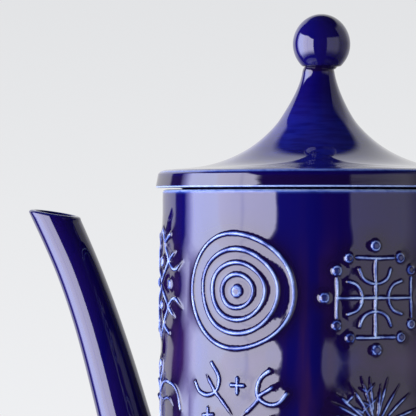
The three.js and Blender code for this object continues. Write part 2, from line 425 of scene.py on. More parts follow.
def m_sprig(seed, scale=1.0, narrow=1.0):
    m = Motif(seed)
    q = lambda p: np.array(p, float) * (scale * narrow, scale)
    for s in (-1, 1):
        m.curve(q([(s * -0.4, 5.8), (s * 2.9, 9.6), (s * 7.7, 10.8), (s * 13.8, 9.5), (s * 16.7, 6.7), (s * 18.2, 2.3)]), w=0.48, h=0.66)
        m.curve(q([(s * 0.3, 5.8), (s * 4.2, 4.6), (s * 9.4, 5.4), (s * 12.4, 3.0)]), w=0.46, h=0.64, taper=-0.3)
        m.curve(q([(0, -4.6), (s * 4.4, -3.4), (s * 9.2, -5.2), (s * 12.2, -10.4)]), w=0.46, h=0.64, taper=-0.2)
        m.curve(q([(0, -10.2), (s * 3.2, -10.6), (s * 6.6, -14.6)]), w=0.46, h=0.62, taper=-0.3)
        m.curve(q([(0, 10.5), (s * 2.4, 13.0), (s * 3.1, 16.4), (s * 2.6, 19.0)]), w=0.46, h=0.62, taper=-0.3)
    m.curve(q([(0, -17.4), (0.4, -8), (-0.3, 2), (0, 10.5)]), w=0.5)
    m.bead(0, 16.4 * scale, 1.3, 0.85)
    return m


def m_sun(seed, scale=1.0, rays=14):
    m = Motif(seed)
    m.ring(7.2 * scale, w=0.5)
    m.ring(3.6 * scale, w=0.46)
    m.bead(0, 0, 1.4)
    for k in range(rays):
        d = 360.0 * k / rays
        r1 = (17.2 if k % 2 else 14.4) * scale
        m.line(rot([(0, 8.2 * scale), (0, r1)], d), w=0.48, taper=-0.3)
        if k % 2:
            x, y = rot((0, r1 + 1.0), d)
            m.bead(x, y, 1.1, 0.8)
    return m


def m_lozenge(seed, scale=1.0, narrow=1.0):
    m = Motif(seed)
    for f in (1.0, 0.66):
        r = 17.6 * f * scale
        c = [(0, r), (0.86 * narrow * r, 0), (0, -r), (-0.86 * narrow * r, 0)]
        for i in range(4):
            m.line([c[i], c[(i + 1) % 4]], w=0.5, wobble=0.1)
    m.line([(-4.6 * scale * narrow, 0), (4.6 * scale * narrow, 0)], w=0.46)
    m.line([(0, -5.2 * scale), (0, 5.2 * scale)], w=0.46)
    if narrow > 0.8:
        for x, y in ((11.6, 12.4), (-11.6, 12.4), (11.6, -12.4), (-11.6, -12.4)):
            m.bead(x * scale, y * scale, 1.35)
    return m


def m_spiral(seed, scale=1.0):
    m = Motif(seed)
    t = np.linspace(0.6, 6.6 * math.pi, 90)
    r = (2.0 + 0.80 * t) * scale
    m.line(np.stack([r * np.cos(t), r * np.sin(t)], 1), wobble=0.08, taper=0.03)
    m.bead(0, 0, 1.3)
    return m


def m_tree(seed, scale=1.0, narrow=1.0):
    m = Motif(seed)
    m.line([(0, -17.5 * scale), (0, 17.5 * scale)], w=0.52)
    for i, y in enumerate(np.linspace(-11.5, 11.0, 6)):
        l = (10.4 - 1.2 * i) * scale * narrow
        for s in (-1, 1):
            m.curve([(0, y * scale), (s * l * 0.55, (y + 2.6) * scale), (s * l, (y + 6.0) * scale)], w=0.46, taper=-0.25)
    for s in (-1, 1):
        m.bead(s * 4.6 * narrow * scale, -15.2 * scale, 1.2)
    return m


def m_flake(seed, scale=1.0):
    m = Motif(seed)
    for k in range(6):
        d = 60 * k
        m.line(rot(np.array([(0, 1.5), (0, 17.0)]) * scale, d), w=0.5, taper=-0.1)
        for y, l in ((6.6, 3.6), (11.2, 4.4)):
            m.line(rot(np.array([(0, y), (l * 0.82, y + l * 0.8)]) * scale, d), w=0.44, taper=-0.2)
            m.line(rot(np.array([(0, y), (-l * 0.82, y + l * 0.8)]) * scale, d), w=0.44, taper=-0.2)
    m.bead(0, 0, 1.6)
    return m


def m_tulip(seed, scale=1.0, narrow=1.0):
    m = Motif(seed)
    q = lambda p: np.array(p, float) * (scale * narrow, scale)
    m.curve(q([(0, -17.5), (0.3, -9), (0, 0)]), w=0.5)
    m.curve(q([(0, 0), (-6.8, 4.0), (-7.6, 11.0), (-5.4, 17.2)]), w=0.5)
    m.curve(q([(0, 0), (6.8, 4.0), (7.6, 11.0), (5.4, 17.2)]), w=0.5)
    m.curve(q([(-5.4, 17.2), (-3.4, 12.6), (0, 10.4), (3.4, 12.6), (5.4, 17.2)]), w=0.48)
    m.line(q([(0, 1.4), (0, 8.2)]), w=0.44)
    for s in (-1, 1):
        m.curve(q([(0, -13), (s * 5.4, -11.2), (s * 9.6, -5.0), (s * 9.2, -1.6), (s * 5.0, -5.4), (0, -10.8)]), w=0.46, h=0.64)
    m.bead(0, 15.0 * scale, 1.25)
    return m


# (angle, height, motif). Five rows; the columns at the handle and the spout have motifs only where the wall is free.
ROWS = (192.0, 151.0, 110.0, 69.5, 29.5)
PLACED = [
    (-99.6, 193.0, m_rings(11)), (-49.6, 191.0, m_dotcross(12)), (-147.6, 194.6, m_star(13, 1.0)),
    (-99.6, 151.0, m_forks(21)), (-49.6, 150.0, m_needles(22)), (-147.6, 152.0, m_sprig(23)),
    (-99.6, 110.0, m_sun(31)), (-49.6, 110.0, m_lozenge(32)), (-147.6, 110.0, m_tree(33, 1.0, 0.86)),
    (-99.6, 69.5, m_tulip(41)), (-49.6, 69.5, m_spiral(42)), (-147.6, 69.5, m_lozenge(43, 1.0, 0.6)),
    (-99.6, 29.5, m_flake(51, 0.9)), (-49.6, 29.5, m_tree(52, 0.9)), (-147.6, 29.5, m_rings(53, 0.86)),
    (99.6, 192.0, m_flake(14)), (49.6, 191.5, m_sun(15)), (147.6, 192.0, m_rings(16)),
    (99.6, 151.0, m_lozenge(24)), (49.6, 151.0, m_tulip(25)), (147.6, 151.0, m_forks(26)),
    (99.6, 110.0, m_dotcross(34)), (49.6, 110.0, m_forks(35)), (147.6, 110.0, m_tulip(36, 1.0, 0.86)),
    (99.6, 69.5, m_star(44)), (49.6, 69.5, m_flake(45, 0.98)), (147.6, 69.5, m_tree(46, 1.0, 0.8)),
    (99.6, 29.5, m_spiral(54, 0.86)), (49.6, 29.5, m_dotcross(55, 0.88)), (147.6, 29.5, m_sun(56, 0.88)),
    (0.0, 29.5, m_lozenge(57, 0.86)), (180.0, 29.5, m_tulip(58, 0.9)), (0.0, 151.0, m_rings(60, 0.94)), (0.0, 117.0, m_flake(61, 0.72)),
]


# ---- the wall as a height field: raised lines, soft pads, an uneven hand-thrown surface ----
COLS, NZ, FINE = 144, 95, 8
Z0, Z1 = 4.2, 222.0
NT, NR = COLS * FINE, NZ * FINE + 1
DZ = (Z1 - Z0) / NZ
TH = 2 * math.pi * np.arange(NT) / NT
ZZ = Z0 + (Z1 - Z0) * np.arange(NR) / (NR - 1)


def radius(z):
    """The wall's outer radius without relief."""
    r = RIM_R + DRAFT * (222.0 - z)
    return np.where(z < 8, r - (8 - z) ** 2 * 0.045, r)


def paint_line(height, reach, p, width, tall, t0, z0):
    """Adds one raised line: the highest ridge wins. height and reach are (row, column) grids."""
    r0 = float(radius(np.array(z0)))
    seg = np.hypot(*np.diff(p, axis=0).T)
    d = np.r_[0, np.cumsum(seg)]
    k = max(3, int(d[-1] / 0.35) + 1)
    u = np.linspace(0, d[-1], k)
    x, y = np.interp(u, d, p[:, 0]), np.interp(u, d, p[:, 1])
    w, h = np.interp(u, d, width), np.interp(u, d, tall)
    pad = 7.0
    i0 = int(((y.min() - pad + z0) - Z0) / (ZZ[1] - ZZ[0]))
    i1 = int(((y.max() + pad + z0) - Z0) / (ZZ[1] - ZZ[0])) + 2
    i0, i1 = max(i0, 0), min(i1, NR)
    if i1 <= i0:
        return
    dt = TH[1]
    j0 = int(math.floor((t0 + (x.min() - pad) / r0) / dt))
    j1 = int(math.ceil((t0 + (x.max() + pad) / r0) / dt)) + 1
    cols = np.arange(j0, j1)
    a = (cols * dt - t0) * r0
    b = ZZ[i0:i1] - z0
    best = np.full((len(b), len(a)), 1e9)
    bw = np.ones_like(best)
    bh = np.zeros_like(best)
    for c in range(0, k, 40):
        e = min(k, c + 41)
        xs, ys = x[c:e], y[c:e]
        jl = np.searchsorted(a, xs.min() - pad)
        jr = np.searchsorted(a, xs.max() + pad)
        il = np.searchsorted(b, ys.min() - pad)
        ir = np.searchsorted(b, ys.max() + pad)
        if jr <= jl or ir <= il:
            continue
        d2 = (a[None, jl:jr, None] - xs) ** 2 + (b[il:ir, None, None] - ys) ** 2
        m = d2.argmin(2)
        dm = np.take_along_axis(d2, m[..., None], 2)[..., 0]
        sub = best[il:ir, jl:jr]
        won = dm < sub
        best[il:ir, jl:jr] = np.where(won, dm, sub)
        bw[il:ir, jl:jr] = np.where(won, w[c:e][m], bw[il:ir, jl:jr])
        bh[il:ir, jl:jr] = np.where(won, h[c:e][m], bh[il:ir, jl:jr])
    dist = np.sqrt(best)
    v = bh * (0.86 / (1 + (dist / bw) ** 4) + 0.14 * np.exp(-((dist / 2.3) ** 2)))
    j = cols % NT
    block = height[i0:i1][:, j]
    height[i0:i1, j] = np.maximum(block, v)
    block = reach[i0:i1][:, j]
    reach[i0:i1, j] = np.minimum(block, dist)


def paint_bead(height, reach, bx, by, br, bh, t0, z0):
    r0 = float(radius(np.array(z0)))
    pad = 6.0
    i0 = max(int(((by - pad + z0) - Z0) / (ZZ[1] - ZZ[0])), 0)
    i1 = min(int(((by + pad + z0) - Z0) / (ZZ[1] - ZZ[0])) + 2, NR)
    if i1 <= i0:
        return
    dt = TH[1]
    cols = np.arange(int(math.floor((t0 + (bx - pad) / r0) / dt)), int(math.ceil((t0 + (bx + pad) / r0) / dt)) + 1)
    a = (cols * dt - t0) * r0
    b = ZZ[i0:i1] - z0
    dist = np.hypot(a[None] - bx, b[:, None] - by)
    v = bh * (0.64 / (1 + (dist / br) ** 6) + 0.36 * np.exp(-((dist / 2.3) ** 2)))
    j = cols % NT
    height[i0:i1, j] = np.maximum(height[i0:i1][:, j], v)
    reach[i0:i1, j] = np.minimum(reach[i0:i1][:, j], np.maximum(dist - br, 0))


def wall_grid():
    """(height, break_and_highlight, pool_and_shade) grids over the fine lattice: pale glaze break with part of a
    painted highlight on the raised lines, dark pooled glaze with painted shade beside them.
    """
    relief = np.zeros((NR, NT))
    reach = np.full((NR, NT), 30.0)
    for deg, z, m in PLACED:
        t0 = math.radians(deg)
        for p, w, h in m.lines:
            paint_line(relief, reach, p, w, h, t0, z)
        for b in m.beads:
            paint_bead(relief, reach, *b, t0, z)
    t, z = np.meshgrid(TH, ZZ)
    # the raised lines fade out at the foot, the rim, the spout and the handle
    edge = smooth((z - 5.5) / 3.5) * smooth((220.5 - z) / 3.0)
    wrap = lambda d: (t - math.radians(d) + math.pi) % (2 * math.pi) - math.pi
    side = lambda d: wrap(d) * 52.0
    spout = np.hypot(side(180.0) / 22.0, (z - 93.0) / 36.0)
    up = np.hypot(side(0.0) / 19.0, (z - 193.0) / 19.5)
    low = np.hypot(side(0.0) / 19.0, (z - 79.5) / 20.0)
    free = smooth((spout - 0.98) / 0.14) * smooth((up - 0.98) / 0.16) * smooth((low - 0.98) / 0.16)
    relief = relief * edge * free
    # a soft pad under each motif and the slow unevenness of the wall
    pad = np.zeros_like(relief)
    for deg, zc, m in PLACED:
        d = np.hypot(wrap(deg) * 52.4, z - zc)
        pad = np.maximum(pad, 0.22 * smooth((24.5 - d) / 9.0))
    pad = pad * edge * free
    slow = waves(5, 26, 9, 90.0, 0.075)(t, z) + waves(6, 30, 22, 34.0, 0.012)(t, z)
    # two slight swellings of the hand-finished wall
    d = side(-73.5)
    slow = slow + 1.60 * np.exp(-((d / np.where(d > 0, 7.0, 25.0)) ** 2) - (np.abs(z - 170.6) / 15.5) ** 4)
    slow = slow + 0.16 * np.exp(-((side(-81.0) / 5.5) ** 2) - ((z - 163.0) / 10.0) ** 2)
    height = relief + (pad + slow * free) * smooth((z - 4.2) / 4.0) * smooth((222.0 - z) / 3.0)
    patch = waves(7, 40, 60, 12.0, 0.22)(t, z)
    tall = smooth((relief - 0.80) / 0.12)
    motif_paleness = np.full_like(relief, 0.8)
    for deg, zc, m in PLACED:
        motif_paleness = np.where(np.hypot(wrap(deg) * 52.4, z - zc) < 22.5, m.paleness, motif_paleness)
    # painted highlight: the raised lines are pale partly because glaze breaks thinly over them and partly to stand for
    # the glint their lit tops catch; bead tops less so
    break_and_highlight = np.clip((relief - 0.41) / 0.25, 0, 1) * np.clip(0.9 + patch, 0.3, 1.0) * (1 - 0.76 * tall) * motif_paleness
    # pooled glaze and painted shade: the dark beside raised lines and round beads stands partly for the shade of their
    # skirts
    pool_and_shade = (0.62 * np.exp(-((np.maximum(reach - 0.6, 0) / 3.0) ** 2)) + 0.38 * np.exp(-((reach / 7.5) ** 2))) * edge * free
    return height, break_and_highlight, pool_and_shade


HEIGHT, BREAK_AND_HIGHLIGHT, POOL_AND_SHADE = wall_grid()


def quadtree(field, ncol, nrow, tol, force):
    """Levels (0..3) of the base cells, split until bilinear patches of field stay within tol. field is periodic in columns."""
    per = np.concatenate([field, field[:, :1]], 1)
    need = {}

    def dev(size):
        nr, nc = (per.shape[0] - 1) // size, (per.shape[1] - 1) // size
        c = per[::size, ::size]
        a, b, d, e = c[:-1, :-1], c[:-1, 1:], c[1:, :-1], c[1:, 1:]
        worst = np.zeros((nr, nc))
        for i in range(size + 1):
            u = i / size
            for j in range(size + 1):
                v = j / size
                bil = (1 - u) * ((1 - v) * a + v * b) + u * ((1 - v) * d + v * e)
                worst = np.maximum(worst, np.abs(per[i : i + nr * size : size, j : j + nc * size : size] - bil))
        return worst

    # need[s]: whether a cell of size s must be split
    for s in (8, 4, 2):
        t = tol if np.isscalar(tol) else None
        if t is None:
            tt = tol[: nrow * 8, :]
            k = tt.reshape(nrow * 8 // s, s, ncol * 8 // s, s).min((1, 3))
        else:
            k = t
        need[s] = dev(s) > k
    # a cell is split when it or any child must be
    n4 = need[4] | need[2].reshape(need[4].shape[0], 2, need[4].shape[1], 2).any((1, 3))
    n8 = need[8] | n4.reshape(need[8].shape[0], 2, need[8].shape[1], 2).any((1, 3)) | force
    return {8: n8, 4: n4, 2: need[2]}


def balance(need, ncol, nrow):
    """Level map on the finest lattice with neighbours at most one level apart."""
    lv = np.zeros((nrow * 8, ncol * 8), np.int8)
    big = lambda a, s: np.repeat(np.repeat(a, s, 0), s, 1)
    lv[big(need[8], 8)] = 1
    lv[(lv >= 1) & big(need[4], 4)] = 2
    lv[(lv >= 2) & big(need[2], 2)] = 3
    for _ in range(8):
        m = lv.copy()
        for ax in (0, 1):
            for s in (1, -1):
                n = np.roll(lv, s, ax)
                if ax == 0:
                    if s == 1:
                        n[0] = 0
                    else:
                        n[-1] = 0
                m = np.maximum(m, n - 1)
        # corners too, so that a cell never has more than one hanging vertex on an edge
        new = lv.copy()
        for size in (8, 4, 2):
            own = {8: 0, 4: 1, 2: 2}[size]
            blk = m.reshape(nrow * 8 // size, size, ncol * 8 // size, size).max((1, 3))
            cur = new.reshape(nrow * 8 // size, size, ncol * 8 // size, size).max((1, 3))
            up = (cur == own) & (blk > own)
            new = np.where(big(up, size), own + 1, new)
        if (new == lv).all():
            break
        lv = new
    return lv


def window_patch(per_uv, per_idx, holes_uv, holes_idx, keep):
    """Triangles that fill a rectangular window between its perimeter and round holes. Returns vertex numbers, anticlockwise in (u, v)."""
    from mathutils.geometry import delaunay_2d_cdt
    from mathutils import Vector

    pts, ids, edges = [], [], []
    for uv, idx in [(per_uv, per_idx)] + list(zip(holes_uv, holes_idx)):
        base = len(pts)
        pts += [Vector((float(a), float(b))) for a, b in uv]
        ids += list(idx)
        edges += [(base + i, base + (i + 1) % len(uv)) for i in range(len(uv))]
    out = delaunay_2d_cdt(pts, edges, [], 0, 1e-6)
    tri = []
    for face in out[2]:
        k = [out[3][v][0] for v in face]
        c = sum((pts[i] for i in k), Vector((0.0, 0.0))) / 3
        if not keep(c):
            continue
        a, b, d = (pts[i] for i in k)
        if (b - a).cross(d - a) < 0:
            k.reverse()
        tri.append([ids[i] for i in k])
    return np.array(tri)


def make_body():
    t = TH
    # finer where the photograph shows the relief, coarser round the back
    tt, zz = np.meshgrid(TH, ZZ)
    seen = np.cos(tt - math.radians(-90 + 19.6)) > -0.05
    tol = np.where(seen & (zz > 100), 0.034, np.where(zz > 100, 0.075, 0.085))
    need = quadtree(HEIGHT, COLS, NZ, tol, np.zeros((NZ, COLS), bool))
    lv = balance(need, COLS, NZ)
    wr0, wr1, wc0, wc1 = 28, 46, 67, 77
    gone = np.zeros(lv.shape, bool)
    gone[wr0 * 8 : wr1 * 8, wc0 * 8 : wc1 * 8] = True
    used = np.zeros((NR, NT + 1), bool)
    leaves = {}
    for level, s in ((0, 8), (1, 4), (2, 2), (3, 1)):
        m = (lv[::s, ::s] == level) & ~gone[::s, ::s]
        i, j = np.nonzero(m)
        i, j = i * s, j * s
        leaves[s] = (i, j)
        for a, b in ((0, 0), (0, s), (s, s), (s, 0)):
            used[i + a, j + b] = True
    both = used[:, 0] | used[:, -1]
    used[:, 0] = used[:, -1] = both
    idx = np.full((NR, NT + 1), -1)
    f = Faces()
    co, nor, break_and_highlight, pool_and_shade = [], [], [], []
    count = 0

    def ring(r, z, v, normal=None):
        nonlocal count
        th = 2 * math.pi * np.arange(COLS) / COLS
        rr = r if np.ndim(r) else np.full(COLS, float(r))
        co.append(np.stack([rr * np.cos(th), rr * np.sin(th), np.full(COLS, float(z))], 1))
        nor.append(np.zeros((COLS, 3)))
        break_and_highlight.append(np.full(COLS, float(v)))
        # painted shade: the rim's top rings, hidden in the gap under the lid's flange, get the full pooled dark
        pool_and_shade.append(np.full(COLS, 1.0 if z > RIM_Z - 0.06 else 0.0))
        count += COLS
        return np.arange(count - COLS, count)

    def pole(z):
        nonlocal count
        co.append([[0.0, 0.0, z]])
        nor.append([[0.0, 0.0, 0.0]])
        break_and_highlight.append([0.0])
        pool_and_shade.append([0.0])
        count += 1
        return count - 1

    # the lattice
    ii, jj = np.nonzero(used[:, :NT])
    idx[ii, jj] = np.arange(len(ii))
    idx[:, NT] = idx[:, 0]
    h = HEIGHT[ii, jj]
    th, z = TH[jj], ZZ[ii]
    r = radius(z) + h
    co.append(np.stack([r * np.cos(th), r * np.sin(th), z], 1))
    ht = (np.roll(HEIGHT, -1, 1) - np.roll(HEIGHT, 1, 1)) / (2 * TH[1])
    hz = np.gradient(HEIGHT, ZZ[1] - ZZ[0], axis=0)
    slope = (radius(z + 0.01) - radius(z - 0.01)) / 0.02
    nt, nz = -ht[ii, jj] / r, -(slope + hz[ii, jj])
    n = np.stack([np.cos(th) - nt * np.sin(th), np.sin(th) + nt * np.cos(th), nz], 1)
    n /= np.linalg.norm(n, axis=1)[:, None]
    n[(ii == 0) | (ii == NR - 1)] = 0
    nor.append(n)
    break_and_highlight.append(BREAK_AND_HIGHLIGHT[ii, jj])
    pool_and_shade.append(POOL_AND_SHADE[ii, jj])
    count = len(ii)
    for s in (8, 4, 2, 1):
        i, j = leaves[s]
        quad = np.stack([idx[i, j], idx[i, j + s], idx[i + s, j + s], idx[i + s, j]], 1)
        if s == 1:
            f.quads(quad)
            continue
        split = np.zeros(len(i), bool)
        for k in range(1, s):
            split |= used[i, j + k] | used[i + k, j + s] | used[i + s, j + k] | used[i + k, j]
        f.quads(quad[~split])
        for a, b in zip(i[split], j[split]):
            p = [idx[a, b + k] for k in range(s) if k == 0 or used[a, b + k]]
            p += [idx[a + k, b + s] for k in range(s) if k == 0 or used[a + k, b + s]]
            p += [idx[a + s, b + k] for k in range(s, 0, -1) if k == s or used[a + s, b + k]]
            p += [idx[a + k, b] for k in range(s, 0, -1) if k == s or used[a + k, b]]
            f.poly(p)

    def join(row, lat, up):
        """Joins a plain ring to the lattice's first or last row, hanging vertices included."""
        for c in range(COLS):
            line = [idx[lat, k] for k in range(c * 8, c * 8 + 9) if k in (c * 8, c * 8 + 8) or used[lat, k]]
            a, b = row[c], row[(c + 1) % COLS]
            f.poly([a, b] + line[::-1] if up else line + [b, a])

    # underside, foot and the curve up to the wall
    prof = corner([(0, RECESS_Z, 0, 0), (45.3, RECESS_Z, 0.9, 0), (FOOT_IN, 0.0, 0.6, 0.3), (FOOT_OUT, 0.0, 0.8, 0.3), (51.6, 1.4, 1.2, 0.5), (52.55, 3.0, 3, 0.1), (float(radius(np.array(Z0))), Z0, 0, 0)])
    prof = densify(prof, 6.0)
    first = pole(RECESS_Z)
    prev = None
    for r_, z_, v_ in prof[1:-1]:
        cur = ring(r_, z_, v_)
        if prev is None:
            f.tris(np.stack([np.full(COLS, first), np.roll(cur, -1), cur], 1))
        else:
            strip(f, prev, cur)
        prev = cur
    join(prev, 0, True)
    # the rim; the pale line along its outer edge is glaze breaking thinly, and partly a painted highlight
    inner = lambda z: float(radius(np.array(z))) - WALL
    prof = corner([(float(radius(np.array(Z1))), Z1, 0, 0), (51.48, 223.7, 0, 0.03), (51.47, 224.45, 0, 0.24), (51.46, 224.75, 0.3, 0.52), (51.2, 225.25, 0.4, 0.78), (50.6, RIM_Z, 0.5, 0.1), (50.2, RIM_Z, 0, 0.05), (48.1, RIM_Z, 1.5, 0.05), (inner(RIM_Z) + 0.45, 224.75, 0.9, 0.5), (inner(RIM_Z), 223.6, 1.5, 0.0), (inner(222.0), 222.0, 0, 0)], 5)
    prev = None
    for r_, z_, v_ in prof[1:]:
        cur = ring(r_, z_, v_)
        if prev is None:
            join(cur, NR - 1, False)
        else:
            strip(f, prev, cur)
        prev = cur
    # the inner wall, with the window for the strainer
    uneven = waves(8, 16, 6, 90.0, 0.10)
    grid = {NZ: prev}
    base_t = 2 * math.pi * np.arange(COLS) / COLS
    for k in range(NZ - 1, 4, -1):
        zk = Z0 + (Z1 - Z0) * k / NZ
        grid[k] = ring(inner(zk) + uneven(base_t, zk) * float(smooth((222 - zk) / 12)), zk, 0)
        a, b = grid[k + 1], grid[k]
        keep_c = np.arange(COLS) if not (wr0 <= k < wr1) else np.array([c for c in range(COLS) if not (wc0 <= c < wc1)])
        f.quads(np.stack([a[keep_c], a[(keep_c + 1) % COLS], b[(keep_c + 1) % COLS], b[keep_c]], 1))
    prev = grid[5]
    i15 = inner(15.0)
    prof = densify(corner([(inner(15.66), 15.66, 0, 0), (i15, 15.0, 3, 0), (i15 - 1.6, 9.9, 4, 0), (i15 - 5, FLOOR_Z, 4, 0), (0, FLOOR_Z, 0, 0)], 5), 6.0)
    for r_, z_, v_ in prof[1:-1]:
        cur = ring(r_, z_, v_)
        strip(f, prev, cur)
        prev = cur
    last = pole(FLOOR_Z)
    f.tris(np.stack([prev, np.roll(prev, -1), np.full(COLS, last)], 1))
    # the strainer
    holes = [(0, 88), (0, 102), (0, 74), (6.8, 95), (-6.8, 95), (6.8, 81), (-6.8, 81)]
    rings_o, rings_i, uv = [], [], []
    ang = 2 * math.pi * np.arange(24) / 24
    for yc, zc in holes:
        y, zh = yc - 2.5 * np.cos(ang), zc + 2.5 * np.sin(ang)
        out = []
        for which in (0, 1):
            rw = radius(zh) - (WALL if which else 0)
            co.append(np.stack([-np.sqrt(rw**2 - y**2), y, zh], 1))
            nor.append(np.zeros((24, 3)))
            break_and_highlight.append(np.full(24, 0.3))
            pool_and_shade.append(np.full(24, 0.5))
            out.append(np.arange(count, count + 24))
            count += 24
        rings_o.append(out[0])
        rings_i.append(out[1])
        uv.append(np.stack([-y, zh], 1))
        o, i_ = out
        f.quads(np.stack([o, np.roll(o, -1), np.roll(i_, -1), i_], 1))
    inside = lambda c: all(math.hypot(c.x + yc, c.y - zc) > 2.42 for yc, zc in holes)
    r0, r1, c0, c1 = wr0 * 8, wr1 * 8, wc0 * 8, wc1 * 8
    per = [(r0, c) for c in range(c0, c1)] + [(r, c1) for r in range(r0, r1)] + [(r1, c) for c in range(c1, c0, -1)] + [(r, c0) for r in range(r1, r0, -1)]
    per = [p for p in per if used[p]]
    pu = [(-float(radius(ZZ[a])) * math.sin(TH[b % NT]), ZZ[a]) for a, b in per]
    f.tris(window_patch(pu, [idx[p] for p in per], uv, rings_o, inside))
    per = [(wr0, c) for c in range(wc0, wc1)] + [(r, wc1) for r in range(wr0, wr1)] + [(wr1, c) for c in range(wc1, wc0, -1)] + [(r, wc0) for r in range(wr1, wr0, -1)]
    pu = [(-(float(radius(ZZ[a * 8])) - WALL) * math.sin(base_t[b]), ZZ[a * 8]) for a, b in per]
    tri = window_patch(pu, [grid[a][b] for a, b in per], uv, rings_i, inside)
    f.tris(tri[:, ::-1])
    loops, totals = f.get()
    print("body faces", len(totals), "by level", {s: len(leaves[s][0]) for s in leaves})
    ob = build("body_fine", np.vstack(co), loops, totals, np.vstack(nor), {"break_and_highlight": np.concatenate(break_and_highlight), "pool_and_shade": np.concatenate(pool_and_shade)})
    return ob


class Tube:
    """A swept tube in the XZ plane. rows: x, z, half thickness in the plane, half width across it, wall."""

    def __init__(self, rows, power=2.0):
        c = spline(rows, 0.5)
        d = np.r_[0, np.cumsum(np.hypot(*np.diff(c[:, :2], axis=0).T))]
        n = int(d[-1] / 0.25) + 1
        self.s = np.linspace(0, d[-1], n)
        self.c = np.stack([np.interp(self.s, d, c[:, k]) for k in range(c.shape[1])], 1)
        k = np.ones(9) / 9
        for q in (0, 1):
            pad = np.r_[2 * self.c[0, q] - self.c[4:0:-1, q], self.c[:, q], 2 * self.c[-1, q] - self.c[-2:-6:-1, q]]
            self.c[:, q] = np.convolve(pad, k, "valid")
        t = np.gradient(self.c[:, :2], self.s, axis=0)
        t /= np.hypot(*t.T)[:, None]
        self.n = np.stack([t[:, 1], -t[:, 0]], 1)
        self.t = t
        self.e = 2.0 / power

    def at(self, s, phi, shrink=0.0):
        """Points and outward directions at arc length s and angle phi (arrays of one shape)."""
        g = lambda a: np.interp(s, self.s, a)
        cx, cz, a, b = (g(self.c[:, k]) for k in range(4))
        if np.ndim(shrink) or shrink:
            a, b = a - shrink, b - shrink
        nx, nz = g(self.n[:, 0]), g(self.n[:, 1])
        q = lambda v: np.sign(v) * np.abs(v) ** self.e
        u, w = a * q(np.cos(phi)), b * q(np.sin(phi))
        p = np.stack([cx + u * nx, w, cz + u * nz], -1)
        du, dw = b * q(np.cos(phi)), a * q(np.sin(phi))
        o = np.stack([du * nx, dw, du * nz], -1)
        return p, o / np.linalg.norm(o, axis=-1)[..., None]

    def wall(self, s, lo, hi):
        return np.interp(s, self.s, self.c[:, 4])


def above(p):
    return np.hypot(p[..., 0], p[..., 1]) - radius(p[..., 2])


def roots(tube, phi, end, shrink=0.0, most=60.0):
    """For each angle, where the tube's line leaves the wall; end 0 is the start of the tube, 1 its end."""
    s = tube.s[tube.s <= most] if end == 0 else tube.s[tube.s >= tube.s[-1] - most][::-1]
    out = np.zeros(len(phi))
    for k, f in enumerate(phi):
        p, _ = tube.at(s, np.full(len(s), f), shrink)
        d = above(p)
        i = np.nonzero(d < 0)[0]
        i = i[-1] if len(i) else 0
        if i + 1 < len(s):
            out[k] = s[i] + (s[i + 1] - s[i]) * (-d[i]) / (d[i + 1] - d[i]) if len(np.nonzero(d < 0)[0]) else s[0]
        else:
            out[k] = s[-1]
    return out


def fillet(p, o, f):
    """Flares points near the wall outwards along it, so that the tube runs into the wall in a curve of radius f."""
    d = np.clip(above(p), 0, None)
    e = np.where(d < f, f - np.sqrt(np.clip(f * f - (f - d) ** 2, 0, None)), 0)
    er = np.stack([p[..., 0], p[..., 1], np.zeros_like(d)], -1)
    er /= np.linalg.norm(er, axis=-1)[..., None]
    w = o - (o * er).sum(-1)[..., None] * er
    w /= np.maximum(np.linalg.norm(w, axis=-1), 1e-6)[..., None]
    q = p + w * e[..., None]
    r = radius(q[..., 2]) + d
    k = np.where(d < f, r / np.hypot(q[..., 0], q[..., 1]), 1.0)
    # only points that were moved are put back at their height above the wall
    k = np.where(e > 0, k, 1.0)
    q[..., 0] *= k
    q[..., 1] *= k
    return q, e / f


def sink(p, depth=0.35):
    r = radius(p[..., 2]) - depth
    k = r / np.hypot(p[..., 0], p[..., 1])
    q = p.copy()
    q[..., 0] *= k
    q[..., 1] *= k
    return q


def sweep_mesh(name, rows, vals, pool_and_shade_rows, tube_seed, closed_loop):
    """Rows of equal length, each a closed ring, joined in order. closed_loop joins the last row back to the first; otherwise both ends are capped."""
    n = len(rows[0])
    f = Faces()
    co = np.vstack(rows)
    break_and_highlight, pool_and_shade = np.concatenate(vals), np.concatenate(pool_and_shade_rows)
    ids = [np.arange(n) + k * n for k in range(len(rows))]
    for a, b in zip(ids[:-1], ids[1:]):
        strip(f, a, b)
    if closed_loop:
        strip(f, ids[-1], ids[0])
    else:
        for ring_, flip in ((ids[0], True), (ids[-1], False)):
            c = co[ring_].mean(0)
            r = np.hypot(c[0], c[1])
            c[:2] *= (float(radius(np.array(c[2]))) - 0.5) / r
            co = np.vstack([co, c])
            break_and_highlight, pool_and_shade = np.r_[break_and_highlight, 0], np.r_[pool_and_shade, 0]
            k = np.full(n, len(co) - 1)
            t = np.stack([ring_, np.roll(ring_, -1), k], 1)
            f.tris(t[:, ::-1] if flip else t)
    loops, totals = f.get()
    # faces must point out: checked by the signed volume
    ob = build(name, co, loops, totals, attrs={"break_and_highlight": break_and_highlight, "pool_and_shade": pool_and_shade})
    me = ob.data
    me.calc_loop_triangles()
    v = np.empty(len(me.vertices) * 3, np.float32)
    me.vertices.foreach_get("co", v)
    v = v.reshape(-1, 3).astype(float)
    t = np.empty(len(me.loop_triangles) * 3, np.int32)
    me.loop_triangles.foreach_get("vertices", t)
    t = t.reshape(-1, 3)
    vol = np.einsum("ij,ij->i", v[t[:, 0]], np.cross(v[t[:, 1]], v[t[:, 2]])).sum() / 6
    if vol < 0:
        me.flip_normals()
        me.update()
    print(name, "volume cm3", round(vol * 1e6, 2), "faces", len(totals))
    return ob


